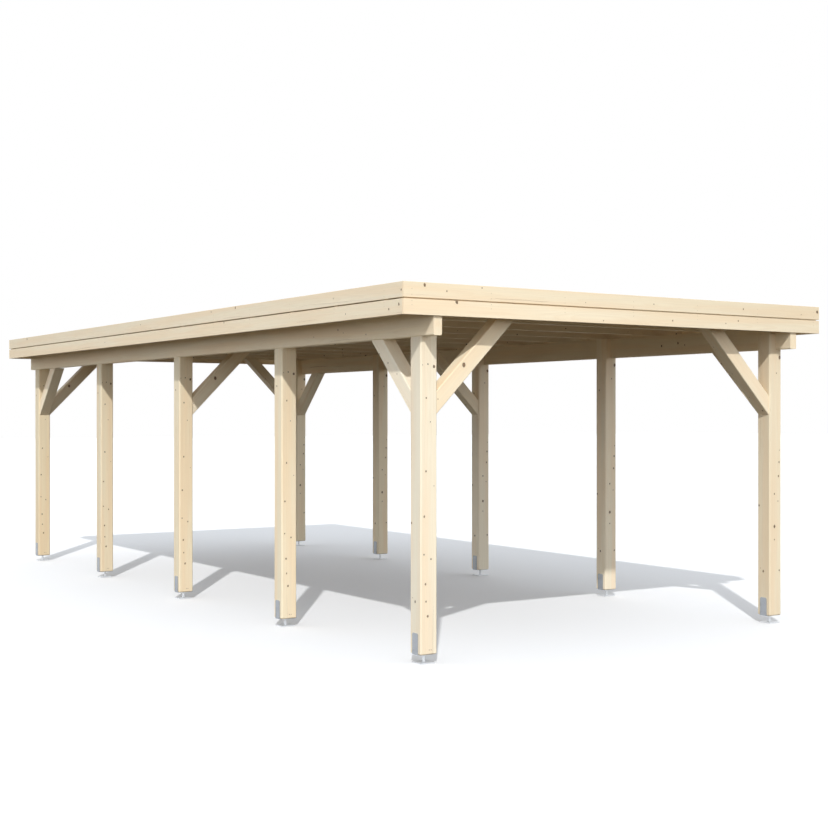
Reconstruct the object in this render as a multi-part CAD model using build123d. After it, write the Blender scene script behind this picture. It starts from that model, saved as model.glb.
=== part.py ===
from build123d import *
from math import sqrt
import os

# An open carport with a flat roof: ten posts on steel feet, in two rows, carry two long beams.
# Rafters lie across the beams under a boarded roof, and two rows of fascia boards run all round.
# Millimetres. X runs across the carport, Y along it from front to back, and Z up.
# The origin is on the ground at the middle of the plan. Left is -X and front is -Y.

# Plan
ROW_WIDTH = 3150.0            # across the outside faces of the two rows of posts
BAY_LENGTH = 1800.0           # from one post's centre to the next along a row
BAY_COUNT = 4
SIDE_OVERHANG = 225.0         # fascia face beyond the posts' outer faces, at the two sides
END_OVERHANG = 155.0          # fascia face beyond the posts' outer faces, at front and back

# Heights above the ground
POST_UNDERSIDE = 56.0
BEAM_UNDERSIDE = 1990.0       # clear height under the long beams

# Timber sections
POST_SIDE = 120.0
POST_ARRIS = 8.0              # flat planed on each corner of a post
POST_END_ARRIS = 6.0          # flat planed round a post's lower end
BEAM_WIDTH = 60.0
BEAM_HEIGHT = 160.0
BEAM_ARRIS = 5.0
BRACE_SIDE = 100.0
BRACE_ARRIS = 4.0
BRACE_REACH = 475.0           # along the beam, from the post's face to the brace's lower edge
RAFTER_WIDTH = 45.0
RAFTER_HEIGHT = 120.0
RAFTER_ARRIS = 1.0
RAFTERS_PER_BAY = 3
ROOF_BOARD_THICKNESS = 16.0
FELT_THICKNESS = 3.0

# Fascia: an upper and a lower board with an open gap between them
FASCIA_THICKNESS = 16.0
FASCIA_BOARD_HEIGHT = 93.0
FASCIA_GAP = 8.0
FASCIA_ARRIS = 1.0
FASCIA_RISE = 11.0            # how far the upper board stands above the felt

# Steel feet
BASE_PLATE_SIDE = 104.0
BASE_PLATE_THICKNESS = 6.0
ANCHOR_SPACING = 72.0         # between the anchor holes, both ways
ANCHOR_HOLE_RADIUS = 6.0
STEM_RADIUS = 10.0
SADDLE_THICKNESS = 5.0        # the plate under the post
CHEEK_THICKNESS = 4.0         # the two plates that stand against the post's sides
CHEEK_HEIGHT = 130.0
CHEEK_CORNER = 8.0
BRACKET_WIDTH = 60.0          # of the saddle and cheeks, along the row

# What follows from the sizes above
POST_COUNT = BAY_COUNT + 1
POST_TOP = BEAM_UNDERSIDE + BEAM_HEIGHT
RAFTER_TOP = POST_TOP + RAFTER_HEIGHT
ROOF_BOARD_TOP = RAFTER_TOP + ROOF_BOARD_THICKNESS
FELT_TOP = ROOF_BOARD_TOP + FELT_THICKNESS
FASCIA_TOP = FELT_TOP + FASCIA_RISE
POST_OUTER_X = ROW_WIDTH / 2
POST_CENTRE_X = POST_OUTER_X - POST_SIDE / 2
POST_INNER_X = POST_OUTER_X - POST_SIDE
END_POST_Y = BAY_LENGTH * BAY_COUNT / 2
HALF_WIDTH = POST_OUTER_X + SIDE_OVERHANG
HALF_LENGTH = END_POST_Y + POST_SIDE / 2 + END_OVERHANG
ROOF_HALF_WIDTH = HALF_WIDTH - FASCIA_THICKNESS
ROOF_HALF_LENGTH = HALF_LENGTH - FASCIA_THICKNESS
BRACE_FOOT = BEAM_UNDERSIDE - BRACE_REACH

SIDES = {"left": -1, "right": 1}
ENDS = {"front": -1, "back": 1}
LEVELS = {"upper": FASCIA_TOP, "lower": FASCIA_TOP - FASCIA_BOARD_HEIGHT - FASCIA_GAP}


def block(x_span, y_span, z_span):
    """A square-cut block that fills three spans, each given as its two ends in either order."""
    spans = [sorted(span) for span in (x_span, y_span, z_span)]
    size = [high - low for low, high in spans]
    centre = [(high + low) / 2 for low, high in spans]
    return Pos(*centre) * Box(*size)


def planed(timber, grain, arris):
    """A timber with a narrow flat planed on each of its long edges."""
    return chamfer(timber.edges().filter_by(grain), arris)


def post_y(number):
    """The place along its row of post 1, at the front, to the last, at the back."""
    return (number - 1) * BAY_LENGTH - END_POST_Y


def post(side, y):
    """A post whose outer side is cut away at the top, where the beam lies in it."""
    shaft = block(
        (side * POST_INNER_X, side * POST_OUTER_X),
        (y - POST_SIDE / 2, y + POST_SIDE / 2),
        (POST_UNDERSIDE, POST_TOP),
    )
    shaft = planed(shaft, Axis.Z, POST_ARRIS)
    shaft = chamfer(shaft.faces().sort_by(Axis.Z)[0].edges(), POST_END_ARRIS)
    seat = block(
        (side * (POST_OUTER_X - BEAM_WIDTH), side * POST_OUTER_X),
        (y - POST_SIDE / 2, y + POST_SIDE / 2),
        (BEAM_UNDERSIDE, POST_TOP),
    )
    return shaft - seat


def foot(side, y):
    """A welded steel foot: base plate with four anchor holes, round stem, and a bracket for the post."""
    x = side * POST_CENTRE_X
    half_base = BASE_PLATE_SIDE / 2
    half_bracket = BRACKET_WIDTH / 2
    saddle_underside = POST_UNDERSIDE - SADDLE_THICKNESS
    base = block((x - half_base, x + half_base), (y - half_base, y + half_base), (0, BASE_PLATE_THICKNESS))
    holes = GridLocations(ANCHOR_SPACING, ANCHOR_SPACING, 2, 2)
    for hole in holes:
        base -= Pos(x, y, BASE_PLATE_THICKNESS / 2) * hole * Cylinder(ANCHOR_HOLE_RADIUS, BASE_PLATE_THICKNESS)
    stem_length = saddle_underside - BASE_PLATE_THICKNESS
    stem = Pos(x, y, BASE_PLATE_THICKNESS + stem_length / 2) * Cylinder(STEM_RADIUS, stem_length)
    cheek_face = POST_SIDE / 2
    cheek_back = cheek_face + CHEEK_THICKNESS
    y_span = (y - half_bracket, y + half_bracket)
    bracket = block((x - cheek_back, x + cheek_back), y_span, (saddle_underside, POST_UNDERSIDE))
    for hand in (-1, 1):
        cheek = block(
            (x + hand * cheek_face, x + hand * cheek_back),
            y_span,
            (saddle_underside, POST_UNDERSIDE + CHEEK_HEIGHT),
        )
        top_corners = cheek.edges().filter_by(Axis.X).group_by(Axis.Z)[-1]
        bracket += chamfer(top_corners, CHEEK_CORNER)
    return base + stem + bracket


def beam(side):
    """A long beam, flush with the posts' outer faces and as long as the space between the fascias."""
    timber = block(
        (side * (POST_OUTER_X - BEAM_WIDTH), side * POST_OUTER_X),
        (-ROOF_HALF_LENGTH, ROOF_HALF_LENGTH),
        (BEAM_UNDERSIDE, POST_TOP),
    )
    return planed(timber, Axis.Y, BEAM_ARRIS)


def brace(post_face, run, top):
    """A 45 degree brace, upright against the post's face at its foot and cut level at its top.

    post_face is the middle of that face at ground level, and run the way out from it.
    """
    cut = BRACE_SIDE * sqrt(2)
    rise = top - BRACE_FOOT
    outline = Polyline(
        (0, BRACE_FOOT),
        (rise, top),
        (rise - cut, top),
        (0, BRACE_FOOT + cut),
        close=True,
    )
    up = Vector(0, 0, 1)
    upright = Plane(origin=post_face, x_dir=run, z_dir=run.cross(up))
    timber = extrude(upright * make_face(outline), BRACE_SIDE / 2, both=True)
    return planed(timber, Axis(post_face, run + up), BRACE_ARRIS)


def across_brace(side, y):
    """A brace from a post's inner face up to the rafter above it."""
    return brace(Vector(side * POST_INNER_X, y, 0), Vector(-side, 0, 0), POST_TOP)


def along_brace(side, end):
    """A brace from an end post up to the beam, pointing to the middle of the row."""
    face_y = end * (END_POST_Y - POST_SIDE / 2)
    return brace(Vector(side * POST_CENTRE_X, face_y, 0), Vector(0, -end, 0), BEAM_UNDERSIDE)


def rafter(y):
    """A rafter across both beams, from one side fascia to the other."""
    timber = block(
        (-ROOF_HALF_WIDTH, ROOF_HALF_WIDTH),
        (y - RAFTER_WIDTH / 2, y + RAFTER_WIDTH / 2),
        (POST_TOP, RAFTER_TOP),
    )
    return planed(timber, Axis.X, RAFTER_ARRIS)


def fascia_end(end, board_top):
    """A front or back fascia board, the full width of the roof."""
    board = block(
        (-HALF_WIDTH, HALF_WIDTH),
        (end * ROOF_HALF_LENGTH, end * HALF_LENGTH),
        (board_top - FASCIA_BOARD_HEIGHT, board_top),
    )
    return planed(board, Axis.X, FASCIA_ARRIS)


def fascia_side(side, board_top):
    """A side fascia board, which fits between the front and back boards."""
    board = block(
        (side * ROOF_HALF_WIDTH, side * HALF_WIDTH),
        (-ROOF_HALF_LENGTH, ROOF_HALF_LENGTH),
        (board_top - FASCIA_BOARD_HEIGHT, board_top),
    )
    return planed(board, Axis.Y, FASCIA_ARRIS)


def roof_layer(underside, top):
    """A layer of the roof, which fills the space inside the fascia."""
    return block(
        (-ROOF_HALF_WIDTH, ROOF_HALF_WIDTH),
        (-ROOF_HALF_LENGTH, ROOF_HALF_LENGTH),
        (underside, top),
    )


def build_nodes():
    """Every named piece of the carport."""
    nodes = {}
    for side_name, side in SIDES.items():
        for number in range(1, POST_COUNT + 1):
            nodes[f"post_{side_name}_{number}"] = post(side, post_y(number))
            nodes[f"foot_{side_name}_{number}"] = foot(side, post_y(number))
        for number in range(1, POST_COUNT + 1, 2):
            nodes[f"across_brace_{side_name}_{number}"] = across_brace(side, post_y(number))
        for end_name, end in ENDS.items():
            nodes[f"along_brace_{side_name}_{end_name}"] = along_brace(side, end)
        nodes[f"beam_{side_name}"] = beam(side)
        for level_name, board_top in LEVELS.items():
            nodes[f"fascia_{side_name}_{level_name}"] = fascia_side(side, board_top)
    for end_name, end in ENDS.items():
        for level_name, board_top in LEVELS.items():
            nodes[f"fascia_{end_name}_{level_name}"] = fascia_end(end, board_top)
    spacing = BAY_LENGTH / RAFTERS_PER_BAY
    rafter_count = BAY_COUNT * RAFTERS_PER_BAY + 1
    nodes["rafters"] = Compound([rafter(number * spacing - END_POST_Y) for number in range(rafter_count)])
    end_rafter_y = ROOF_HALF_LENGTH - RAFTER_WIDTH / 2
    nodes["end_rafters"] = Compound([rafter(end * end_rafter_y) for end in ENDS.values()])
    nodes["roof_boards"] = roof_layer(RAFTER_TOP, ROOF_BOARD_TOP)
    nodes["roof_felt"] = roof_layer(ROOF_BOARD_TOP, FELT_TOP)
    return nodes


def main():
    """Write one STEP file for each piece."""
    os.makedirs("parts", exist_ok=True)
    for name, shape in build_nodes().items():
        export_step(shape, f"parts/{name}.step")


main()
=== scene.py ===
"""Looks of an open timber carport: planed spruce frame, boarded flat roof under felt, galvanised feet.

Metres, in the frame of the CAD: X across, Y from front to back, Z up from the ground.
"""

import random
from math import cos, pi, radians, sin

import bmesh
import bpy
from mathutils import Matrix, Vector


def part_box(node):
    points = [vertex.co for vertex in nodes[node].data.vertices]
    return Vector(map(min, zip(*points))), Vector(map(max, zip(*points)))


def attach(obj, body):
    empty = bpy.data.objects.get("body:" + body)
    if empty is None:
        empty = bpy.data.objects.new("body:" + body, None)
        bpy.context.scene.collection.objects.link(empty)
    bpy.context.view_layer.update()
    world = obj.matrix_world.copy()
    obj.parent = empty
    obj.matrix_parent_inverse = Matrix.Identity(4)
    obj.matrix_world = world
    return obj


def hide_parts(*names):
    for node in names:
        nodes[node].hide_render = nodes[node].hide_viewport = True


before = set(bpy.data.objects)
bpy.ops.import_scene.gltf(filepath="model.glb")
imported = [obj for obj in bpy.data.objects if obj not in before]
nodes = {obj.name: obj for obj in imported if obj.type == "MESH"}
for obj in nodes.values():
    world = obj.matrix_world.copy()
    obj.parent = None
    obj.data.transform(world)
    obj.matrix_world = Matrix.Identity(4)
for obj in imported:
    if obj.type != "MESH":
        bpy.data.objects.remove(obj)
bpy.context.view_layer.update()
MM = 0.001

# ---- The frame's own measures, read from the CAD ----

POSTS_PER_SIDE = 5
BRACED_POSTS = (1, 3, 5)      # the posts with a brace across
RAFTER_COUNT = 13
SIDES = {"left": -1, "right": 1}
ENDS = {"front": -1, "back": 1}


def centre_of(node):
    """The middle of a CAD node's box."""
    low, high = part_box(node)
    return (low + high) / 2


rafter_low, rafter_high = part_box("rafters")
board_low, board_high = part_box("roof_boards")
felt_low, felt_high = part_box("roof_felt")
RAFTER_WIDTH = 45 * MM
RAFTER_PITCH = (rafter_high.y - rafter_low.y - RAFTER_WIDTH) / (RAFTER_COUNT - 1)
end_rafter_low, end_rafter_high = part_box("end_rafters")
END_RAFTER_PITCH = end_rafter_high.y - end_rafter_low.y - RAFTER_WIDTH


# ---- Shader nodes ----


class Shader:
    """Adds nodes to one tree. A value is a number, a tuple or another node's output."""

    def __init__(self, tree):
        self.tree = tree

    def add(self, kind, inputs=None, output=0, **settings):
        node = self.tree.nodes.new(kind)
        for name, value in settings.items():
            setattr(node, name, value)
        for key, value in (inputs or {}).items():
            self.feed(node.inputs[key], value)
        return node.outputs[output] if node.outputs else node

    def feed(self, socket, value):
        if isinstance(value, bpy.types.NodeSocket):
            self.tree.links.new(value, socket)
        elif socket.type == "RGBA":
            socket.default_value = (*value, 1.0)
        else:
            socket.default_value = value

    def math(self, operation, *values):
        return self.add("ShaderNodeMath", dict(enumerate(values)), operation=operation)

    def vector(self, operation, *values, output=0):
        return self.add("ShaderNodeVectorMath", dict(enumerate(values)), output, operation=operation)

    def length(self, value):
        return self.vector("LENGTH", value, output="Value")

    def dot(self, a, b):
        return self.vector("DOT_PRODUCT", a, b, output="Value")

    def parts(self, value):
        node = self.tree.nodes.new("ShaderNodeSeparateXYZ")
        self.feed(node.inputs[0], value)
        return node.outputs[0], node.outputs[1], node.outputs[2]

    def join(self, x, y, z):
        return self.add("ShaderNodeCombineXYZ", {0: x, 1: y, 2: z})

    def smooth(self, value, start, end, low=0.0, high=1.0):
        """Goes smoothly from low at start to high at end."""
        inputs = {0: value, 1: start, 2: end, 3: low, 4: high}
        return self.add("ShaderNodeMapRange", inputs, interpolation_type="SMOOTHSTEP")

    def noise(self, point, scale=1.0, detail=2.0, roughness=0.5, output="Fac"):
        inputs = {"Vector": point, "Scale": scale, "Detail": detail, "Roughness": roughness}
        return self.add("ShaderNodeTexNoise", inputs, output)

    def varied(self, value, swing, middle=0.0):
        """Turns a noise, which lies about 0.5, into one that lies about middle."""
        return self.math("MULTIPLY_ADD", self.math("SUBTRACT", value, 0.5), swing, middle)

    def cells(self, point, scale=1.0, randomness=1.0, feature="F1"):
        """The outputs of a texture of scattered cells."""
        node = self.tree.nodes.new("ShaderNodeTexVoronoi")
        node.feature = feature
        for name, value in {"Vector": point, "Scale": scale, "Randomness": randomness}.items():
            self.feed(node.inputs[name], value)
        return node.outputs

    def attribute(self, name, output):
        return self.add("ShaderNodeAttribute", output=output, attribute_name=name)

    def mix(self, factor, a, b):
        return self.add("ShaderNodeMix", {0: factor, 6: a, 7: b}, 2, data_type="RGBA")

    def tinted(self, colour, value):
        """A colour made lighter or darker by a number near 1."""
        return self.vector("SCALE", colour, (0, 0, 0), (0, 0, 0), value)


def new_group(name, inputs, outputs):
    """An empty node group with the sockets named, its input node and its output node."""
    group = bpy.data.node_groups.new(name, "ShaderNodeTree")
    for direction, sockets in (("INPUT", inputs), ("OUTPUT", outputs)):
        for socket, kind in sockets.items():
            group.interface.new_socket(socket, in_out=direction, socket_type="NodeSocket" + kind)
    return group, group.nodes.new("NodeGroupInput"), group.nodes.new("NodeGroupOutput")


# ---- Spruce: a solid texture of a log, so that rings, grain and knots run through every face ----

RING_WIDTH = 3.4 * MM
RING_RIPPLE = 7 * MM          # how far the rings wander in and out
RING_SWELL = 6 * MM           # how far they part round a knot
PITH_WANDER = (0.05, 0.05, 0.0)    # how far the pith wanders from side to side along the log
LOG_STRETCH = 13.7            # metres along the log from the piece of one seed to that of the next

KNOTS_ROUND = 1.05            # knots round the log, per radian
KNOTS_ALONG = 4.2             # layers of knots along the log, per metre
KNOT_SCATTER = 0.9
KNOT_RADII = (2 * MM, 9 * MM)
KNOT_CLIMB = 0.25             # how much a branch rises as it leaves the pith
BRANCH_ROOT = (5 * MM, 50 * MM)    # from the pith: where a branch is thinnest, and full size
SQUARE_ON = 0.5               # a branch that runs closer along a face than this leaves no mark on it
NO_KNOT = 30.0                # a distance from a knot, in its radii, at which nothing of it shows

CHECKS_ROUND = 3              # bearings from the pith at which the wood may split
CHECK_GAPE = 0.8 * MM         # half the width of the widest split
CHECK_RAGGED = 1 * MM

PALE_WOOD = (0.900, 0.800, 0.620)
WARM_WOOD = (0.900, 0.750, 0.550)
LATE_WOOD = (0.780, 0.610, 0.410)
END_WOOD = (0.80, 0.66, 0.46)
END_LATE_WOOD = (0.60, 0.43, 0.26)
ARRIS_PAINTED_HIGHLIGHT = (0.95, 0.86, 0.68)
CHECK_WOOD = (0.30, 0.19, 0.10)
KNOT_HALO = (0.640, 0.450, 0.270)
KNOT_WOOD = (0.210, 0.120, 0.066)
KNOT_RIM = (0.070, 0.040, 0.022)


def make_spruce_group():
    """The node group that every timber's material shares."""
    group, ends, out = new_group(
        "spruce",
        {
            "Point": "Vector",      # in the log's own axes, with the grain along Z
            "Normal": "Vector",
            "Pith": "Vector",
            "Seed": "Float",
            "Knots": "Float",       # the share of knots that show
            "Marked": "Float",      # how far off a knot at a known place is: 1 at its rim
            "Tone": "Vector",
            "Ends": "Float",        # how much darker end grain is
        },
        {"Color": "Color", "Roughness": "Float", "Height": "Float"},
    )
    s = Shader(group)
    point, normal, pith, seed, knots, marked, tone, end_strength = ends.outputs[:8]

    # the log's own place: each piece comes from another stretch of another log
    stretch = s.vector("ADD", point, s.join(0.0, 0.0, s.math("MULTIPLY", seed, LOG_STRETCH)))
    wander = s.noise(s.vector("MULTIPLY", stretch, (0.0, 0.0, 0.55)), output="Color")
    wander = s.vector("MULTIPLY", s.vector("SUBTRACT", wander, (0.5, 0.5, 0.5)), PITH_WANDER)
    in_log = s.vector("ADD", s.vector("SUBTRACT", stretch, pith), wander)
    x, y, z = s.parts(in_log)
    across = s.join(x, y, 0.0)
    radius = s.length(across)
    outward = s.vector("NORMALIZE", across)

    # knots: branches that leave the pith, each an ellipse where a face cuts it
    scale = (KNOTS_ROUND, KNOTS_ROUND, KNOTS_ALONG)
    cell_point = s.vector("MULTIPLY", s.vector("ADD", outward, s.join(0.0, 0.0, z)), scale)
    cell = s.cells(cell_point, randomness=KNOT_SCATTER)
    cell_edge = s.cells(cell_point, randomness=KNOT_SCATTER, feature="DISTANCE_TO_EDGE")["Distance"]
    rank, size, darkness = s.parts(cell["Color"])
    branch = s.vector("DIVIDE", cell["Position"], scale)
    branch_x, branch_y, branch_z = s.parts(branch)
    heading = s.vector("NORMALIZE", s.join(branch_x, branch_y, 0.0))
    heading_x, heading_y, _ = s.parts(heading)
    beside = s.math("SUBTRACT", s.math("MULTIPLY", x, heading_y), s.math("MULTIPLY", y, heading_x))
    climb = s.math("MULTIPLY_ADD", radius, KNOT_CLIMB, branch_z)
    above = s.math("MULTIPLY", s.math("SUBTRACT", z, climb), 0.8)
    from_branch = s.length(s.join(beside, above, 0.0))
    least, most = KNOT_RADII
    thick = s.math("MULTIPLY_ADD", s.math("POWER", size, 2.0), most - least, least)
    thick = s.math("MULTIPLY", thick, s.smooth(radius, *BRANCH_ROOT, 0.05))
    square_on = s.math("ABSOLUTE", s.dot(heading, normal))
    present = s.math("LESS_THAN", rank, knots)
    present = s.math("MULTIPLY", present, s.math("GREATER_THAN", square_on, SQUARE_ON))
    present = s.math("MULTIPLY", present, s.smooth(cell_edge, 0.0, 0.06))
    absent = s.math("MULTIPLY", s.math("SUBTRACT", 1.0, present), NO_KNOT)
    # how far off the nearest knot is, in its own radii: 1 at its rim
    reach = s.math("ADD", s.math("DIVIDE", from_branch, thick), absent)
    uneven = s.noise(s.vector("MULTIPLY", in_log, (170.0, 170.0, 110.0)))
    reach = s.math("MULTIPLY", s.math("MINIMUM", reach, marked), s.varied(uneven, 0.8, 1.0))

    halo = s.math("EXPONENT", s.math("MULTIPLY", s.math("MULTIPLY", reach, reach), -0.28))
    core = s.smooth(reach, 1.08, 0.86)
    rim = s.math("MULTIPLY", s.smooth(reach, 0.55, 0.98), s.smooth(reach, 1.3, 1.0))

    # growth rings, which part round a knot
    ripple = s.noise(s.vector("MULTIPLY", in_log, (16.0, 16.0, 1.6)), detail=3.0)
    bent = s.math("ADD", radius, s.varied(ripple, RING_RIPPLE))
    bent = s.math("MULTIPLY_ADD", halo, RING_SWELL, bent)
    years = s.noise(s.join(s.math("MULTIPLY", bent, 55.0), seed, 0.0), detail=1.0)
    ring = s.math("ADD", s.math("DIVIDE", bent, RING_WIDTH), s.math("MULTIPLY", years, 4.0))
    year = s.math("FRACT", ring)
    late = s.math("MULTIPLY", s.smooth(year, 0.35, 0.93), s.smooth(year, 1.0, 0.94))
    vigour = s.add("ShaderNodeTexWhiteNoise", {"W": s.math("FLOOR", ring)}, "Value", noise_dimensions="1D")
    late = s.math("MULTIPLY", late, s.math("MULTIPLY_ADD", vigour, 0.55, 0.45))

    # slow drift of tone, long streaks and fine fibres
    drift = s.noise(s.vector("MULTIPLY", in_log, (11.0, 11.0, 0.8)))
    streak = s.noise(s.vector("MULTIPLY", in_log, (85.0, 85.0, 1.1)), detail=3.0, roughness=0.6)
    fibre = s.noise(s.vector("MULTIPLY", in_log, (900.0, 900.0, 22.0)), roughness=0.6)

    wood = s.mix(s.smooth(drift, 0.36, 0.66), PALE_WOOD, WARM_WOOD)
    wood = s.mix(s.math("MULTIPLY", late, 0.21), wood, LATE_WOOD)
    wood = s.tinted(wood, s.varied(streak, 0.12, 1.0))
    wood = s.tinted(wood, s.varied(fibre, 0.08, 1.0))

    # end grain is darker and shows its rings more
    end_face = s.smooth(s.math("ABSOLUTE", s.dot(normal, (0.0, 0.0, 1.0))), 0.90, 0.98)
    end_wood = s.mix(s.math("MULTIPLY", late, 0.55), END_WOOD, END_LATE_WOOD)
    wood = s.mix(s.math("MULTIPLY", end_face, end_strength), wood, end_wood)

    # the knots on top: rings of their own, a dark rim and a warm halo
    whorl = s.math("SINE", s.math("MULTIPLY", reach, 17.0))
    whorl = s.math("MULTIPLY", whorl, s.smooth(reach, 0.1, 0.4))
    mottle = s.noise(s.vector("MULTIPLY", in_log, (600.0, 600.0, 600.0)))
    shade = s.math("MULTIPLY_ADD", whorl, 0.24, s.math("MULTIPLY_ADD", darkness, 0.7, 0.4))
    shade = s.math("MULTIPLY", shade, s.math("MULTIPLY_ADD", mottle, 1.0, 0.5))
    shade = s.math("MULTIPLY", shade, s.smooth(reach, 0.0, 0.45, 0.55, 1.15))
    knot_wood = s.tinted(KNOT_WOOD, s.math("MAXIMUM", shade, 0.15))
    wood = s.mix(s.math("MULTIPLY", halo, 0.18), wood, KNOT_HALO)
    wood = s.mix(s.math("MULTIPLY", core, 0.88), wood, knot_wood)
    wood = s.mix(s.math("MULTIPLY", rim, 0.72), wood, KNOT_RIM)

    # drying checks: fine splits that face the pith, run along the grain and close at both ends
    sway = s.noise(s.join(seed, 0.0, s.math("MULTIPLY", z, 1.1)))
    bearing = s.math("MULTIPLY", s.math("ARCTAN2", y, x), CHECKS_ROUND / (2 * pi))
    bearing = s.math("MULTIPLY_ADD", sway, 0.25, bearing)
    off_check = s.math("ABSOLUTE", s.math("SUBTRACT", s.math("FRACT", bearing), 0.5))
    off_check = s.math("MULTIPLY", s.math("MULTIPLY", off_check, radius), 2 * pi / CHECKS_ROUND)
    ragged = s.noise(s.vector("MULTIPLY", in_log, (400.0, 400.0, 60.0)))
    off_check = s.varied(ragged, CHECK_RAGGED, off_check)
    which = s.math("MULTIPLY", s.math("FLOOR", bearing), 5.3)
    gape = s.noise(s.join(which, seed, s.math("MULTIPLY", z, 1.6)), detail=0.0)
    gape = s.smooth(gape, 0.58, 0.74, 0.0, CHECK_GAPE)
    split = s.smooth(s.math("SUBTRACT", gape, off_check), 0.0, 0.35 * MM)
    wood = s.mix(s.math("MULTIPLY", split, 0.6), wood, CHECK_WOOD)

    # painted highlight on the arrises: the narrow chamfer faces between the wide ones are painted paler
    normal_x, normal_y, normal_z = s.parts(s.vector("ABSOLUTE", normal))
    widest = s.math("MAXIMUM", s.math("MAXIMUM", normal_x, normal_y), normal_z)
    arris_highlight = s.smooth(widest, 0.93, 0.80)
    wood = s.mix(s.math("MULTIPLY", arris_highlight, 0.15), wood, ARRIS_PAINTED_HIGHLIGHT)
    wood = s.vector("MULTIPLY", wood, tone)

    rough = s.math("MULTIPLY_ADD", streak, 0.16, 0.60)
    rough = s.math("MULTIPLY_ADD", core, -0.16, rough)
    rough = s.math("MULTIPLY_ADD", end_face, 0.12, rough)
    height = s.math("ADD", s.math("MULTIPLY", late, 0.25), s.math("MULTIPLY", fibre, 0.30))
    height = s.math("ADD", height, s.math("MULTIPLY", core, 0.6))
    height = s.math("SUBTRACT", height, s.math("MULTIPLY", split, 3.0))
    height = s.math("SUBTRACT", height, s.math("MULTIPLY", rim, 0.5))

    s.feed(out.inputs["Color"], wood)
    s.feed(out.inputs["Roughness"], rough)
    s.feed(out.inputs["Height"], height)
    return group


SPRUCE = make_spruce_group()
WOOD_SPECULAR = 0.12
WOOD_BUMP = 0.35 * MM


def finish_surface(s, base, rough, height, bump_depth, specular, metallic=0.0):
    """The Principled shader that every material of the object ends in."""
    bump = s.add("ShaderNodeBump", {"Strength": 1.0, "Distance": bump_depth, "Height": height})
    surface = s.add(
        "ShaderNodeBsdfPrincipled",
        {
            "Base Color": base,
            "Roughness": rough,
            "Normal": bump,
            "Specular IOR Level": specular,
            "Metallic": metallic,
        },
    )
    s.add("ShaderNodeOutputMaterial", {"Surface": surface})


def new_material(name):
    """An empty material, and the shader that fills it."""
    material = bpy.data.materials.new(name)
    material.use_nodes = True
    material.node_tree.nodes.clear()
    return material, Shader(material.node_tree)


# how an upright log is turned so that it lies as the piece does, as Euler angles in degrees
UPRIGHT = (0, 0, 0)
ALONG_X = (0, 90, 0)
ALONG_Y = (-90, 0, 0)

PLAIN = (1.0, 1.0, 1.0)       # a tone that changes nothing
OUTWARD = {"front": (0, -1, 0), "left": (-1, 0, 0)}
KNOT_DEPTH = 3                # how far a knot at a known place runs into the wood, in its radii
KNOT_HEIGHT = 1.3             # and how far up and down


def tone_of(brightness, warmth=0.0):
    """Tints spruce lighter or darker, and warmer or, below 0, greyer."""
    return (brightness * (1 + warmth / 2), brightness, brightness * (1 - warmth))


def knot_distance(s, place, node, known):
    """How far a point is from the nearest of a node's knots at known places: 1 at its rim.

    known gives the knots of each face, each as (distance along the face from the node's low corner, height
    above that corner, radius in mm).
    """
    low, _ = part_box(node)
    nearest = NO_KNOT
    for face, knots in known.items():
        lengthwise = 0 if face == "front" else 1
        for along, height, radius in knots:
            half_sizes = [KNOT_DEPTH * radius * MM, KNOT_DEPTH * radius * MM, KNOT_HEIGHT * radius * MM]
            half_sizes[lengthwise] = radius * MM
            centre = Vector((low.x, low.y, low.z + height))
            centre[lengthwise] += along
            shrink = tuple(1 / h for h in half_sizes)
            offset = tuple(-c / h for c, h in zip(centre, half_sizes))
            distance = s.length(s.vector("MULTIPLY_ADD", place, shrink, offset))
            nearest = distance if nearest == NO_KNOT else s.math("MINIMUM", nearest, distance)
    return nearest


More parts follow.
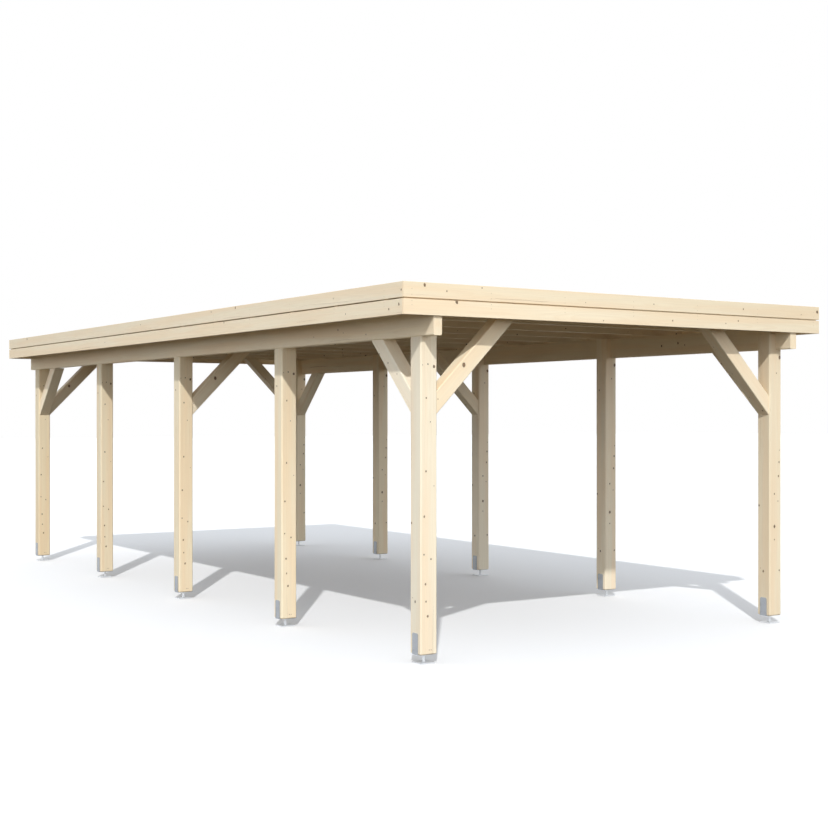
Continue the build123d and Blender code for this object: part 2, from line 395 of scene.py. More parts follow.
def timber_material(
    name,
    centre,
    grain,
    pith,
    seed,
    knots=0.3,
    known=None,
    row=None,
    tone=PLAIN,
    left_tone=PLAIN,
    fade=0.0,
    ends=0.75,
):
    """Spruce for one piece: its middle, its grain's direction, where its log's pith lies, and its own seed.

    With no centre, each part of the mesh carries its own middle and seed.
    knots is the share of the log's knots that show.
    known gives the knots of the faces where their places are known, and those faces have no others.
    row is (pitch, phase) for like pieces side by side along Y in one node, so that each is of its own log.
    tone tints the piece, and left_tone paints shade on its left faces as well.
    fade is how much darker the piece's far end is painted than its near end, as painted shade.
    ends is how strongly its end grain shows.
    """
    material, s = new_material(name)
    coordinates = s.tree.nodes.new("ShaderNodeTexCoord")
    place, facing = coordinates.outputs["Object"], coordinates.outputs["Normal"]
    piece_seed, local = seed, place
    if centre is None:
        centre = (0.0, 0.0, 0.0)
        local = s.vector("SUBTRACT", place, s.attribute("middle", "Vector"))
        piece_seed = s.math("ADD", s.attribute("seed", "Fac"), seed)
    if row:
        pitch, phase = row
        x, y, z = s.parts(place)
        index = s.math("FLOOR", s.math("MULTIPLY_ADD", y, 1 / pitch, phase))
        middle_y = s.math("MULTIPLY", s.math("ADD", index, 0.5 - phase), pitch)
        local = s.join(x, s.math("SUBTRACT", y, middle_y), z)
        piece_seed = s.math("MULTIPLY_ADD", index, 0.731, seed)
    turn = tuple(radians(angle) for angle in grain)
    laid = {"Vector": local, "Location": centre, "Rotation": turn}
    point = s.add("ShaderNodeMapping", laid, vector_type="TEXTURE")
    normal = s.add("ShaderNodeMapping", {"Vector": facing, "Rotation": turn}, vector_type="TEXTURE")
    marked = NO_KNOT
    if known:
        marked = knot_distance(s, place, name, known)
        for face in known:
            elsewhere = s.math("LESS_THAN", s.dot(facing, OUTWARD[face]), 0.5)
            knots = s.math("MULTIPLY", elsewhere, knots)
    # painted shade on the faces that look left
    if left_tone != PLAIN:
        leftward = s.smooth(s.dot(facing, OUTWARD["left"]), 0.6, 0.9)
        tone = s.mix(leftward, tone, tuple(a * b for a, b in zip(tone, left_tone)))
    # painted shade, darker towards the far end
    if fade:
        lengthwise = 0 if grain == ALONG_X else 1
        near, far = (corner[lengthwise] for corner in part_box(name))
        share = s.smooth(s.parts(place)[lengthwise], near, far, 1 + fade / 2, 1 - fade / 2)
        tone = s.tinted(tone, share)
    group = s.tree.nodes.new("ShaderNodeGroup")
    group.node_tree = SPRUCE
    inputs = {
        "Point": point,
        "Normal": normal,
        "Pith": (*pith, 0.0),
        "Seed": piece_seed,
        "Knots": knots,
        "Marked": marked,
        "Tone": tone,
        "Ends": ends,
    }
    for key, value in inputs.items():
        s.feed(group.inputs[key], value)
    colour, rough, height = group.outputs
    finish_surface(s, colour, rough, height, WOOD_BUMP, WOOD_SPECULAR)
    return material


def give(node, material):
    """Puts a material on a CAD node in place of its plain one."""
    mesh = nodes[node].data
    mesh.materials.clear()
    mesh.materials.append(material)


# ---- Timber on the CAD's pieces ----

# Knots at known places: how far along the face and how high from the piece's low corner, in metres, and
# radius in millimetres
LOW_SIDE_KNOTS = ((0.103, 0.797, 5.0), (0.063, 0.320, 6.0), (0.090, 0.341, 2.0))
HIGH_SIDE_KNOT = (0.077, 1.665, 4.5)
POST_KNOTS = {
    "left": {
        "front": (
            (0.013, 1.760, 2.0),
            (0.052, 1.765, 3.5),
            (0.096, 1.752, 6.5),
            (0.040, 1.560, 4.0),
            (0.070, 1.415, 2.5),
            (0.038, 1.115, 4.5),
            (0.096, 1.025, 2.0),
            (0.025, 0.840, 4.5),
            (0.023, 0.610, 3.5),
            (0.074, 0.580, 4.0),
            (0.034, 0.430, 5.0),
            (0.038, 0.325, 4.0),
            (0.050, 0.235, 5.5),
            (0.061, 0.029, 2.0),
            (0.075, 0.029, 2.0),
        ),
        "left": (HIGH_SIDE_KNOT,),
    },
    "right": {
        "front": (
            (0.102, 1.876, 9.0),
            (0.069, 1.762, 3.5),
            (0.101, 1.202, 2.5),
            (0.096, 1.115, 5.0),
            (0.090, 1.013, 5.0),
            (0.048, 0.885, 4.5),
            (0.085, 0.831, 3.0),
            (0.048, 0.648, 8.0),
            (0.048, 0.553, 3.5),
            (0.098, 0.327, 4.5),
        ),
        "left": (*LOW_SIDE_KNOTS, HIGH_SIDE_KNOT),
    },
}
ACROSS_BRACE_KNOTS = {"front": ((0.206, 0.307, 10.0), (0.050, 0.200, 4.5), (0.012, 0.095, 2.5))}
ALONG_BRACE_KNOTS = {"left": ((0.37, 0.385, 3.5), (0.27, 0.325, 4.0), (0.165, 0.253, 3.0))}
FASCIA_KNOTS = {
    "fascia_front_upper": {
        "front": (
            (0.15, 0.076, 7.0),
            (0.31, 0.047, 3.5),
            (0.57, 0.080, 3.0),
            (1.39, 0.027, 2.0),
            (1.98, 0.042, 3.0),
            (2.82, 0.045, 4.0),
            (3.41, 0.030, 2.5),
            (3.58, 0.056, 8.0),
        ),
    },
    "fascia_front_lower": {
        "front": (
            (0.382, 0.088, 9.0),
            (1.54, 0.017, 2.5),
            (2.15, 0.040, 4.0),
            (2.65, 0.040, 3.0),
            (2.77, 0.062, 4.0),
        ),
    },
    "fascia_left_upper": {
        "left": (
            (0.008, 0.043, 4.5),
            (0.81, 0.047, 3.0),
            (2.23, 0.080, 6.0),
            (2.64, 0.076, 4.0),
            (4.02, 0.057, 3.0),
            (7.02, 0.076, 7.0),
        ),
    },
    "fascia_left_lower": {
        "left": (
            (0.034, 0.060, 6.0),
            (0.145, 0.037, 5.0),
            (0.655, 0.040, 3.0),
            (2.42, 0.086, 4.5),
            (4.84, 0.047, 3.0),
        ),
    },
}
BEAM_KNOTS = {
    "left": {"left": ((0.78, 0.041, 3.0), (1.07, 0.065, 2.5), (1.14, 0.088, 4.0), (1.47, 0.057, 2.5))},
    "right": {"left": ((1.07, 0.072, 3.5), (1.145, 0.090, 6.0), (1.33, 0.075, 6.0))},
}

# Brightness and warmth of the timbers that show best: partly each timber's own tone, partly painted light
# and shade that make up for the light falling on each, such as the rafters under the roof painted darker
TONES_AND_PAINTED_SHADE = {
    "post_left_1": (1.015, 0.01),
    "post_left_2": (1.00, 0.07),
    "post_left_3": (0.97, 0.08),
    "post_left_4": (0.91, 0.08),
    "post_left_5": (0.88, 0.11),
    "post_right_1": (0.88, 0.05),
    "post_right_2": (1.05, 0.00),
    "post_right_3": (1.05, -0.02),
    "post_right_4": (0.96, 0.05),
    "fascia_front_upper": (0.90, 0.06),
    "fascia_front_lower": (0.93, 0.05),
    "fascia_left_upper": (0.85, 0.02),
    "fascia_left_lower": (0.86, 0.03),
    "beam_left": (0.96, 0.05),
    "beam_right": (0.96, 0.04),
    "across_brace_left_1": (1.01, 0.05),
    "across_brace_right_1": (0.94, 0.04),
    "along_brace_left_front": (1.03, -0.03),
    "rafters": (0.89, 0.03),
    "end_rafters": (0.89, 0.03),
}
# The ranges that the others' brightness and warmth are drawn from
CHANCE_BRIGHTNESS = (0.93, 0.98)
CHANCE_WARMTH = (0.0, 0.05)
LEFT_FACE_PAINTED_SHADE = (0.91, 0.94, 0.98)    # painted shade: the left posts' left faces are painted a little darker and greyer than their fronts

# Painted shade: by what share a long timber is painted darker at its far end than at its near end
FAR_END_PAINTED_SHADES = {
    "fascia_front_upper": 0.13,
    "fascia_front_lower": 0.15,
    "fascia_left_upper": 0.10,
    "fascia_left_lower": 0.07,
    "beam_left": 0.07,
}

FEW_KNOTS = 0.15              # the share of knots that show on the posts' plainer faces
FAINT_ENDS = 0.2              # for beams and fascia boards, whose ends show their grain only faintly
SEEDS = (0.0, 40.0)
chance = random.Random(1907)


def log_pith(near, far):
    """Where the pith lies from a piece's middle: to any side, between near and far metres away."""
    angle = chance.uniform(0.0, 2 * pi)
    distance = chance.uniform(near, far)
    return (distance * cos(angle), distance * sin(angle))


def behind_face(x_sign, y_sign):
    """The pith of a flat-sawn board, behind its outward face."""
    return (
        -x_sign * chance.uniform(0.06, 0.09) + chance.uniform(-0.02, 0.02),
        -y_sign * chance.uniform(0.06, 0.09) + chance.uniform(-0.02, 0.02),
    )


def give_timber(node, grain, pith, centre=None, **options):
    """Gives a CAD node its own spruce, with the tone listed for it, which is partly painted light and
    shade, or one by chance.
    """
    by_chance = (chance.uniform(*CHANCE_BRIGHTNESS), chance.uniform(*CHANCE_WARMTH))
    tone = tone_of(*TONES_AND_PAINTED_SHADE.get(node, by_chance))
    seed = chance.uniform(*SEEDS)
    options.update(tone=tone, fade=FAR_END_PAINTED_SHADES.get(node, 0.0))
    give(node, timber_material(node, centre or centre_of(node), grain, pith, seed, **options))


for side, sign in SIDES.items():
    for number in range(1, POSTS_PER_SIDE + 1):
        node = f"post_{side}_{number}"
        known = dict(POST_KNOTS[side])
        if node == "post_left_1":
            known["left"] = LOW_SIDE_KNOTS
        left_tone = LEFT_FACE_PAINTED_SHADE if side == "left" else PLAIN
        pith = log_pith(0.01, 0.05)
        give_timber(node, UPRIGHT, pith, knots=FEW_KNOTS, known=known, left_tone=left_tone)
    give_timber(f"beam_{side}", ALONG_Y, log_pith(0.03, 0.08), known=BEAM_KNOTS[side], ends=FAINT_ENDS)
    for number in BRACED_POSTS:
        node = f"across_brace_{side}_{number}"
        known = ACROSS_BRACE_KNOTS if side == "left" else None
        give_timber(node, (0, -45 * sign, 0), log_pith(0.02, 0.06), known=known)
    for end, toward in ENDS.items():
        node = f"along_brace_{side}_{end}"
        known = ALONG_BRACE_KNOTS if end == "front" else None
        give_timber(node, (45 * toward, 0, 0), log_pith(0.02, 0.06), known=known)

for level in ("upper", "lower"):
    for side, sign in SIDES.items():
        node = f"fascia_{side}_{level}"
        pith = behind_face(sign, 0)
        give_timber(node, ALONG_Y, pith, known=FASCIA_KNOTS.get(node), ends=FAINT_ENDS)
    for end, sign in ENDS.items():
        node = f"fascia_{end}_{level}"
        pith = behind_face(0, sign)
        give_timber(node, ALONG_X, pith, known=FASCIA_KNOTS.get(node), ends=FAINT_ENDS)

rafter_middle = Vector((0.0, 0.0, centre_of("rafters").z))
give_timber("rafters", ALONG_X, (0.03, 0.05), centre=rafter_middle, row=(RAFTER_PITCH, 0.5))
give_timber("end_rafters", ALONG_X, (0.04, -0.03), centre=rafter_middle, row=(END_RAFTER_PITCH, 0.0))


# ---- Galvanised steel feet ----

LIT_ZINC_PAINTED = (0.76, 0.78, 0.80)
SHADED_ZINC_PAINTED = (0.42, 0.443, 0.475)
SPANGLES = 120.0              # to a metre


def steel_material():
    """Galvanised steel with zinc spangles, painted brighter on the ground plate and stem than on the
    bracket: painted light and shade on one zinc.
    """
    material, s = new_material("galvanised_steel")
    place = s.add("ShaderNodeTexCoord", output="Object")
    _, _, z = s.parts(place)
    warped = s.vector("ADD", place, s.noise(place, 60.0, output="Color"))
    shade, _, _ = s.parts(s.cells(warped, SPANGLES)["Color"])
    cloud = s.noise(place, 25.0, 4.0)
    tone = s.math("MULTIPLY_ADD", shade, 0.16, s.math("MULTIPLY_ADD", cloud, 0.18, 0.82))
    # painted light and shade: lighter zinc below the bracket, darker zinc on the bracket and above
    bracket_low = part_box("post_left_1")[0].z
    bracket_painted_shade = s.smooth(z, bracket_low - 6 * MM, bracket_low + 1 * MM)
    zinc = s.mix(bracket_painted_shade, LIT_ZINC_PAINTED, SHADED_ZINC_PAINTED)
    finish_surface(
        s,
        base=s.tinted(zinc, tone),
        rough=s.math("MULTIPLY_ADD", shade, 0.14, 0.38),
        height=s.math("MULTIPLY_ADD", shade, 0.2, cloud),
        bump_depth=0.08 * MM,
        specular=0.5,
        metallic=0.75,
    )
    return material


STEEL = steel_material()
for side in SIDES:
    for number in range(1, POSTS_PER_SIDE + 1):
        give(f"foot_{side}_{number}", STEEL)


# ---- Meshes of the finer pieces ----

scene = bpy.context.scene
UP = Vector((0, 0, 1))
CORNERS = ((-1, -1), (1, -1), (1, 1), (-1, 1))    # of a rectangle seen from above, in turn


class Shape:
    """One mesh, gathered part by part. Its material can read each part's seed and middle."""

    def __init__(self):
        self.points, self.faces, self.seeds, self.middles = [], [], [], []

    def add(self, points, faces, seed=0.0, middle=(0.0, 0.0, 0.0)):
        start = len(self.points)
        self.points += [tuple(p) for p in points]
        self.faces += [tuple(start + i for i in face) for face in faces]
        self.seeds += [seed] * len(points)
        self.middles += [tuple(middle)] * len(points)

    def make(self, name, material, slot, smooth=False, stands_for=()):
        """Makes the piece, which rides on the frame and may stand for CAD nodes."""
        mesh = bpy.data.meshes.new(name)
        mesh.from_pydata(self.points, [], self.faces)
        mesh.attributes.new("seed", "FLOAT", "POINT").data.foreach_set("value", self.seeds)
        middles = [number for middle in self.middles for number in middle]
        mesh.attributes.new("middle", "FLOAT_VECTOR", "POINT").data.foreach_set("vector", middles)
        outward = bmesh.new()
        outward.from_mesh(mesh)
        bmesh.ops.recalc_face_normals(outward, faces=outward.faces)
        outward.to_mesh(mesh)
        outward.free()
        mesh.materials.append(material)
        if smooth:
            mesh.shade_smooth()
        piece = bpy.data.objects.new(name, mesh)
        scene.collection.objects.link(piece)
        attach(piece, "root")
        if stands_for:
            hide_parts(*stands_for)


def drawn_along_y(outline, start, end):
    """An outline in X and Z, drawn out along Y and closed at both ends."""
    count = len(outline)
    points = [(x, y, z) for y in (start, end) for x, z in outline]
    faces = [(i, (i + 1) % count, count + (i + 1) % count, count + i) for i in range(count)]
    faces += [tuple(range(count)), tuple(range(count, 2 * count))]
    return points, faces


OPEN_RADIUS = 2 * MM          # a lathed shape that starts nearer than this to its line is closed there


def lathed(profile, around, foot, outward, turn=0.0):
    """A shape turned about a line that stands on foot and points outward.

    profile gives (radius, height, lobe) from the middle out. A lobe moves every other point in and out.
    """
    outward = Vector(outward).normalized()
    across = outward.orthogonal().normalized()
    up = outward.cross(across)
    points, faces = [], []
    for radius, height, lobe in profile:
        for i in range(around):
            angle = turn + 2 * pi * i / around
            spoke = across * cos(angle) + up * sin(angle)
            reach = radius + (lobe if i % 2 else -lobe)
            points.append(Vector(foot) + outward * height + spoke * reach)
    for ring in range(len(profile) - 1):
        for i in range(around):
            a, b = ring * around + i, ring * around + (i + 1) % around
            faces.append((a, b, b + around, a + around))
    if profile[0][0] < OPEN_RADIUS:
        faces.append(tuple(range(around)))
    return points, faces


POINTS_AROUND_HEAD = 12
POINTS_AROUND_WELD = 40

# Heads and weld beads, as (radius, height, lobe) from the middle out, in metres
NAIL_HEAD = (
    (1.5 * MM, 1.3 * MM, 0),
    (3.2 * MM, 1.1 * MM, 0),
    (4.6 * MM, 0.5 * MM, 0),
    (4.8 * MM, -0.2 * MM, 0),
)
FLAT_HEAD = (
    (0.5 * MM, 0.05 * MM, 0),
    (1.2 * MM, 0.05 * MM, 0.25 * MM),
    (1.3 * MM, 0.34 * MM, 0.25 * MM),
    (2.6 * MM, 0.38 * MM, 0),
    (3.0 * MM, -0.05 * MM, 0),
)
PAN_HEAD = (
    (0.6 * MM, 0.8 * MM, 0),
    (1.6 * MM, 0.8 * MM, 0.35 * MM),
    (1.7 * MM, 2.5 * MM, 0.35 * MM),
    (3.2 * MM, 2.4 * MM, 0),
    (4.5 * MM, 1.5 * MM, 0),
    (5.0 * MM, 0.0, 0),
)
WELD_BEAD = (
    (9.9 * MM, 4.6 * MM, 0),
    (11.0 * MM, 3.6 * MM, 0.25 * MM),
    (12.8 * MM, 2.4 * MM, 0.35 * MM),
    (14.4 * MM, 1.0 * MM, 0.35 * MM),
    (15.4 * MM, -0.1 * MM, 0.1 * MM),
)


# ---- Roof: tongued boards, felt in lapped sheets, and the nails that hold it ----

BOARD_COVER = 111.5 * MM      # width that each board covers
BOARD_GAP = 0.6 * MM
BOARD_V = 3 * MM              # bevels along the boards' lower edges
TONGUE = 5 * MM
TONGUE_THICK = 5 * MM
FIRST_JOINT = 2               # the rafter that carries the first row's joint
JOINT_STEP = 5                # how many rafters on the next row's joint is
JOINT_PLACES = 9              # how many rafters the joints share, in turn


def board_outline(left, right, tongue):
    """A tongued and grooved board's section, with its groove at the left and its tongue at the right."""
    bottom, top = board_low.z, board_high.z
    middle = (bottom + top) / 2
    low, high = middle - TONGUE_THICK / 2, middle + TONGUE_THICK / 2
    tip, groove = right + TONGUE, left + TONGUE + BOARD_GAP
    outline = [(left + BOARD_V, bottom), (right - BOARD_V, bottom), (right, bottom + BOARD_V)]
    if tongue:
        outline += [(right, low), (tip, low), (tip, high), (right, high)]
    outline += [(right, top), (left, top)]
    outline += [(left, high), (groove, high), (groove, low), (left, low)]
    outline += [(left, bottom + BOARD_V)]
    return outline


def make_roof_boards():
    """Rows of boards from front to back, two to a row, that stand for the CAD's plain slab."""
    boards = Shape()
    count = round((board_high.x - board_low.x) / BOARD_COVER)
    cover = (board_high.x - board_low.x) / count
    for number in range(count):
        left = board_low.x + number * cover + BOARD_GAP / 2
        right = left + cover - BOARD_GAP
        # the two boards of a row meet on a rafter
        rafter = FIRST_JOINT + number * JOINT_STEP % JOINT_PLACES
        joint = rafter_low.y + RAFTER_WIDTH / 2 + RAFTER_PITCH * rafter
        spans = ((board_low.y, joint - BOARD_GAP / 2), (joint + BOARD_GAP / 2, board_high.y))
        for start, end in spans:
            outline = board_outline(left, right, tongue=number < count - 1)
            middle = ((left + right) / 2, (start + end) / 2, (board_low.z + board_high.z) / 2)
            boards.add(*drawn_along_y(outline, start, end), seed=chance.uniform(*SEEDS), middle=middle)
    # the boards take the rafters' tone, which is painted darker as shade under the roof
    tone = tone_of(*TONES_AND_PAINTED_SHADE["rafters"])
    name = "roof_boarding"
    spruce = timber_material(name, None, ALONG_Y, (0.01, 0.07), 3.0, knots=0.45, tone=tone, ends=0.5)
    boards.make(name, spruce, "roof_board_timber", stands_for=["roof_boards"])


FELT_THICK = 3.0 * MM
FELT_RIPPLE = 0.35 * MM
FELT_GAP = 0.1 * MM           # between a sheet's lap and the sheet under it
SHEET_WIDTH = 1.0             # a roll's width
SHEET_LAP = 80 * MM
LAP_ROWS = (0.0, 0.25, 0.85, 1.0, 1.35)    # rows of points by a lap, in laps from the sheet's edge
LAP_STEP = (0.85, 0.5)        # where a sheet starts to come down off its lap, and over how far, in laps
SHEET_ROWS = 6                # rows of points on the rest of a sheet
SHEET_COLUMNS = 72
NAIL_PITCH = 150 * MM
NAIL_INSET = 20 * MM
GRANULES = 620.0              # to a metre
SLATE_GREY = (0.105, 0.112, 0.115)
SLATE_BROWN = (0.135, 0.130, 0.120)
BITUMEN = (0.018, 0.017, 0.016)


def felt_material():
    """Mineral felt: fine slate granules on bitumen, each sheet a little different."""
    material, s = new_material("roofing_felt")
    place = s.add("ShaderNodeTexCoord", output="Object")
    seed = s.attribute("seed", "Fac")
    lightness, hue, _ = s.parts(s.cells(place, GRANULES)["Color"])
    weather = s.noise(s.vector("ADD", place, s.join(seed, seed, 0.0)), 3.0, 5.0, 0.6)
    worn = s.noise(s.vector("MULTIPLY", place, (0.7, 14.0, 1.0)), 1.0, 4.0)
    tone = s.math("MULTIPLY_ADD", lightness, 0.55, 0.55)
    tone = s.math("MULTIPLY", tone, s.math("MULTIPLY_ADD", weather, 0.5, 0.72))
    tone = s.math("MULTIPLY", tone, s.math("MULTIPLY_ADD", worn, 0.25, 0.86))
    tone = s.math("MULTIPLY", tone, s.math("MULTIPLY_ADD", seed, 0.12, 0.94))
    slate = s.tinted(s.mix(hue, SLATE_GREY, SLATE_BROWN), tone)
    bare = s.smooth(lightness, 0.10, 0.04)
    finish_surface(
        s,
        base=s.mix(bare, slate, BITUMEN),
        rough=s.math("MULTIPLY_ADD", bare, -0.35, 0.92),
        height=s.math("MULTIPLY_ADD", weather, 0.5, lightness),
        bump_depth=0.5 * MM,
        specular=0.3,
    )
    return material


FELT = felt_material()


def felt_sheet(start, end, laps_over, sway):
    """One sheet across the roof: a slab that rises over the edge of the sheet before it."""
    ys = [start + row * SHEET_LAP for row in LAP_ROWS] if laps_over else [start, start + SHEET_LAP]
    last = ys[-1]
    ys += [last + (end - last) * (i + 1) / SHEET_ROWS for i in range(SHEET_ROWS)]
    step_start, step_length = LAP_STEP
    points = []
    for layer in (0.0, 1.0):
        for y in ys:
            past_lap = ((y - start) / SHEET_LAP - step_start) / step_length
            lift = (FELT_THICK + FELT_GAP) * (1 - min(max(past_lap, 0.0), 1.0)) if laps_over else 0.0
            for column in range(SHEET_COLUMNS + 1):
                x = felt_low.x + (felt_high.x - felt_low.x) * column / SHEET_COLUMNS
                ripple = FELT_RIPPLE * sin(11.0 * x + sway) * sin(7.0 * y + 2 * sway)
                thick = FELT_THICK + max(ripple, -0.3 * MM)
                points.append((x, y, felt_low.z + lift + layer * thick))
    across = SHEET_COLUMNS + 1
    layer_size = across * len(ys)
    faces = []
    for row in range(len(ys) - 1):
        for column in range(SHEET_COLUMNS):
            a = row * across + column
            low = (a, a + 1, a + 1 + across, a + across)
            faces += [low[::-1], tuple(i + layer_size for i in low)]
    border = [row * across for row in range(len(ys))]
    border += [border[-1] + column for column in range(1, across)]
    border += [row * across + across - 1 for row in reversed(range(len(ys) - 1))]
    border += list(reversed(range(1, across - 1)))
    for i, a in enumerate(border):
        b = border[(i + 1) % len(border)]
        faces.append((a, b, b + layer_size, a + layer_size))
    return points, faces


def make_felt():
    """Sheets from front to back, each lapping over the one before it, with clout nails along the laps."""
    sheets, nails = Shape(), Shape()
    pitch = SHEET_WIDTH - SHEET_LAP
    start, number = felt_low.y, 0
    while start < felt_high.y - SHEET_LAP:
        end = min(start + SHEET_WIDTH, felt_high.y)
        sheets.add(*felt_sheet(start, end, number > 0, 1.7 * number), seed=chance.random())
        if number:
            for column in range(int((felt_high.x - felt_low.x) / NAIL_PITCH)):
                x = felt_low.x + (column + 0.5) * NAIL_PITCH + chance.uniform(-6, 6) * MM
                y = start + NAIL_INSET + chance.uniform(-2, 2) * MM
                top = felt_low.z + 2 * FELT_THICK
                nails.add(*lathed(NAIL_HEAD, POINTS_AROUND_HEAD, (x, y, top), UP))
        start += pitch
        number += 1
    sheets.make("felt_sheets", FELT, "roofing_felt", stands_for=["roof_felt"])
    nails.make("felt_nails", STEEL, "galvanised_steel", smooth=True)


def make_felt_upstand():
    """A strip of felt that turns up against the fascia all round."""
    section = (             # in from the fascia and up from the boards, in millimetres
        (0.0, 3.0),
        (0.0, 12.6),
        (2.4, 12.8),
        (3.2, 8.6),
        (5.6, 6.6),
        (62.0, 6.4),
        (62.0, 3.4),
    )
    points = []
    for inward, rise in section:
        x, y = felt_high.x - inward * MM, felt_high.y - inward * MM
        points += [(i * x, j * y, felt_low.z + rise * MM) for i, j in CORNERS]
    faces = []
    around = len(CORNERS)
    for ring in range(len(section)):
        this, following = ring * around, (ring + 1) % len(section) * around
        for corner in range(around):
            beside = (corner + 1) % around
            faces.append((this + corner, this + beside, following + beside, following + corner))
    strip = Shape()
    strip.add(points, faces, seed=0.4)
    strip.make("felt_upstand", FELT, "roofing_felt")


# ---- Screws and welds ----

# painted reflection: screw colours close to the wood, standing in for the timber the heads reflect
SCREW_WOOD_REFLECTION_LIGHT = (0.70, 0.58, 0.38)
SCREW_WOOD_REFLECTION_DARK = (0.58, 0.49, 0.35)


def screw_material():
    """Screws in the timber, their heads painted close to the wood in colour: a painted reflection of the
    timber round them.
    """
    material, s = new_material("screws_painted_wood_reflection")
    place = s.add("ShaderNodeTexCoord", output="Object")
    cloud = s.noise(place, 300.0, 3.0)
    finish_surface(
        s,
        base=s.mix(cloud, SCREW_WOOD_REFLECTION_LIGHT, SCREW_WOOD_REFLECTION_DARK),
        rough=s.math("MULTIPLY_ADD", cloud, 0.2, 0.45),
        height=cloud,
        bump_depth=0.03 * MM,
        specular=0.3,
        metallic=0.4,
    )
    return material


# heights of the fascia's screws from their board's middle, where the rafters' ends are
FASCIA_SCREWS = {"upper": (-30 * MM, 4 * MM), "lower": (10 * MM, 35 * MM)}
END_FIXINGS = 7                             # places along a front or back board
END_FIXING_INSET = 60 * MM                  # of the first and last of them
BRACE_SCREW_INSET = 38 * MM                 # from a brace's tip, along its lower face
BRACE_SCREW_SPREAD = 22 * MM
CHEEK_SCREWS = ((-17, 25), (17, 25), (-17, 80), (17, 80))    # across and up a cheek, in millimetres
BASE_PLATE_THICK = 6 * MM
SADDLE_THICK = 5 * MM


def rafter_places():
    """Where each rafter's middle lies along Y, from the front end rafter to the back one."""
    first = rafter_low.y + RAFTER_WIDTH / 2
    places = [first + RAFTER_PITCH * number for number in range(RAFTER_COUNT)]
    return [end_rafter_low.y + RAFTER_WIDTH / 2] + places + [end_rafter_high.y - RAFTER_WIDTH / 2]


def make_fascia_screws(material):
    """Pairs of screws into every rafter's ends, and at even places along the front and back boards."""
    screws = Shape()
    for level, heights in FASCIA_SCREWS.items():
        for side, sign in SIDES.items():
            low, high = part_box(f"fascia_{side}_{level}")
            face = high.x if sign > 0 else low.x
            for y in rafter_places():
                for height in heights:
                    z = (low.z + high.z) / 2 + height
                    turn = chance.random()
                    screws.add(*lathed(FLAT_HEAD, POINTS_AROUND_HEAD, (face, y, z), (sign, 0, 0), turn))
        for end, sign in ENDS.items():
            low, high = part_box(f"fascia_{end}_{level}")
            face = high.y if sign > 0 else low.y
            span = high.x - low.x - 2 * END_FIXING_INSET
            for number in range(END_FIXINGS):
                x = low.x + END_FIXING_INSET + span * number / (END_FIXINGS - 1)
                for height in heights:
                    z = (low.z + high.z) / 2 + height
                    turn = chance.random()
                    screws.add(*lathed(FLAT_HEAD, POINTS_AROUND_HEAD, (x, face, z), (0, sign, 0), turn))
    screws.make("fascia_screws", material, "galvanised_steel")


def make_brace_screws(material):
    """Two screws by each end of a brace, square to its lower face."""
    screws = Shape()
    braces = []
    for side, sign in SIDES.items():
        braces += [(f"across_brace_{side}_{number}", Vector((-sign, 0, 0))) for number in BRACED_POSTS]
    for side in SIDES:
        braces += [(f"along_brace_{side}_{end}", Vector((0, -sign, 0))) for end, sign in ENDS.items()]
    for node, run in braces:
        low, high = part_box(node)
        middle = (low + high) / 2
        rise = high.z - low.z
        foot = middle - run * rise / 2
        foot.z = low.z
        slope, beside = (run + UP).normalized(), run.cross(UP)
        length = rise * 2 ** 0.5
        for distance in (BRACE_SCREW_INSET, length - BRACE_SCREW_INSET):
            for spread in (-BRACE_SCREW_SPREAD, BRACE_SCREW_SPREAD):
                place = foot + slope * distance + beside * spread
                screws.add(*lathed(FLAT_HEAD, POINTS_AROUND_HEAD, place, run - UP, chance.random()))
    screws.make("brace_screws", material, "galvanised_steel")


def make_foot_details():
    """Screws through the cheeks into the posts, and the welds at both ends of the stem."""
    screws, welds = Shape(), Shape()
    for side in SIDES:
        for number in range(1, POSTS_PER_SIDE + 1):
            low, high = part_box(f"foot_{side}_{number}")
            post_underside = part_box(f"post_{side}_{number}")[0].z
            middle = (low + high) / 2
            for outward, face in ((-1, low.x), (1, high.x)):
                for across, rise in CHEEK_SCREWS:
                    place = (face, middle.y + across * MM, post_underside + rise * MM)
                    turn = chance.random()
                    screws.add(*lathed(PAN_HEAD, POINTS_AROUND_HEAD, place, (outward, 0, 0), turn))
            stem_foot = (middle.x, middle.y, low.z + BASE_PLATE_THICK)
            stem_head = (middle.x, middle.y, post_underside - SADDLE_THICK)
            welds.add(*lathed(WELD_BEAD, POINTS_AROUND_WELD, stem_foot, UP))
            welds.add(*lathed(WELD_BEAD, POINTS_AROUND_WELD, stem_head, -UP))
    screws.make("foot_screws", STEEL, "galvanised_steel")
    welds.make("stem_welds", STEEL, "galvanised_steel", smooth=True)


make_roof_boards()
make_felt()
make_felt_upstand()
SCREW_PAINTED_REFLECTION = screw_material()
make_fascia_screws(SCREW_PAINTED_REFLECTION)
make_brace_screws(SCREW_PAINTED_REFLECTION)
make_foot_details()


# ---- Camera, light and floor ----

near_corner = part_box("post_left_1")[0]
CAMERA_OUT = 4.630        # to the left of the near left post's outer corner
CAMERA_BACK = 7.014       # in front of it
CAMERA_HEIGHT = 1.507
CAMERA_YAW = 33.25        # degrees, from straight along the bays towards the right
CAMERA_LENS = 60.4        # on a 36 mm sensor
CAMERA_SHIFT = (-0.0030, 0.0023)

camera_data = bpy.data.cameras.new("camera")
camera_data.lens = CAMERA_LENS
camera_data.sensor_width = 36.0
camera_data.shift_x, camera_data.shift_y = CAMERA_SHIFT
camera_data.clip_end = 200.0
camera = bpy.data.objects.new("camera", camera_data)
camera.location = (near_corner.x - CAMERA_OUT, near_corner.y - CAMERA_BACK, CAMERA_HEIGHT)
camera.rotation_euler = (radians(90.0), 0.0, -radians(CAMERA_YAW))
scene.collection.objects.link(camera)
scene.camera = camera

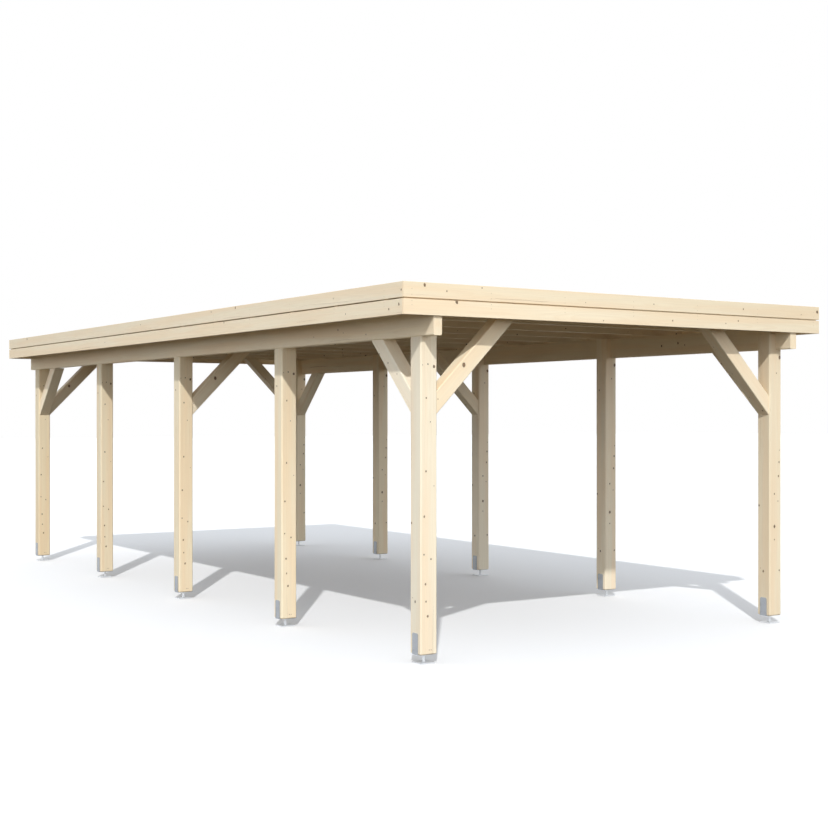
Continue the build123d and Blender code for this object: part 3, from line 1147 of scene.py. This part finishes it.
SUN_TRAVEL = Vector((0.725, 1.03, -1.0))   # the way sunlight goes: from the front left, 38 degrees high
SUN_STRENGTH = 2.33
SUN_SPREAD = 1.0                           # degrees across, for soft shadow edges
sun_data = bpy.data.lights.new("sun", "SUN")
sun_data.energy = SUN_STRENGTH
sun_data.angle = radians(SUN_SPREAD)
sun = bpy.data.objects.new("sun", sun_data)
sun.rotation_euler = SUN_TRAVEL.to_track_quat("-Z", "Y").to_euler()
scene.collection.objects.link(sun)

SKY_AT_HORIZON = (1.58, 1.65, 1.75)
SKY_OVERHEAD = (0.72, 0.755, 0.80)
WHITE = (1.0, 1.0, 1.0)
world = bpy.data.worlds.new("studio")
world.use_nodes = True
world.node_tree.nodes.clear()
scene.world = world


def seen_directly(s):
    """1 for a ray from the camera, a reflection or glass, 0 for light that bounces off dull surfaces."""
    path = s.tree.nodes.new("ShaderNodeLightPath")
    seen = s.math("MAXIMUM", path.outputs["Is Camera Ray"], path.outputs["Is Glossy Ray"])
    return s.math("MAXIMUM", seen, path.outputs["Is Transmission Ray"])


def make_world():
    """A soft sky, brightest near the horizon, that the eye sees as plain white."""
    s = Shader(world.node_tree)
    _, _, rise = s.parts(s.add("ShaderNodeTexCoord", output="Generated"))
    low = s.math("POWER", s.math("SUBTRACT", 1.0, s.math("MAXIMUM", rise, 0.0)), 2.0)
    sky = s.mix(low, SKY_OVERHEAD, SKY_AT_HORIZON)
    colour = s.mix(seen_directly(s), sky, WHITE)
    glow = s.add("ShaderNodeBackground", {"Color": colour, "Strength": 1.0})
    s.add("ShaderNodeOutputWorld", {"Surface": glow})


make_world()

FLOOR_SIDE = 160.0
FLOOR_DROP = 0.5 * MM     # just under the ground plates
FLOOR_PALE = (0.88, 0.88, 0.88)
FLOOR_BOUNCE = (0.105, 0.088, 0.064)


def make_floor():
    """A pale floor to the eye, which throws back only as much light as dark paving would."""
    material, s = new_material("floor")
    pale = s.mix(seen_directly(s), FLOOR_BOUNCE, FLOOR_PALE)
    s.add("ShaderNodeOutputMaterial", {"Surface": s.add("ShaderNodeBsdfDiffuse", {"Color": pale})})
    mesh = bpy.data.meshes.new("floor")
    half = FLOOR_SIDE / 2
    mesh.from_pydata([(i * half, j * half, -FLOOR_DROP) for i, j in CORNERS], [], [(0, 1, 2, 3)])
    mesh.materials.append(material)
    floor = bpy.data.objects.new("floor", mesh)
    scene.collection.objects.link(floor)


make_floor()
scene.view_settings.view_transform = "Standard"
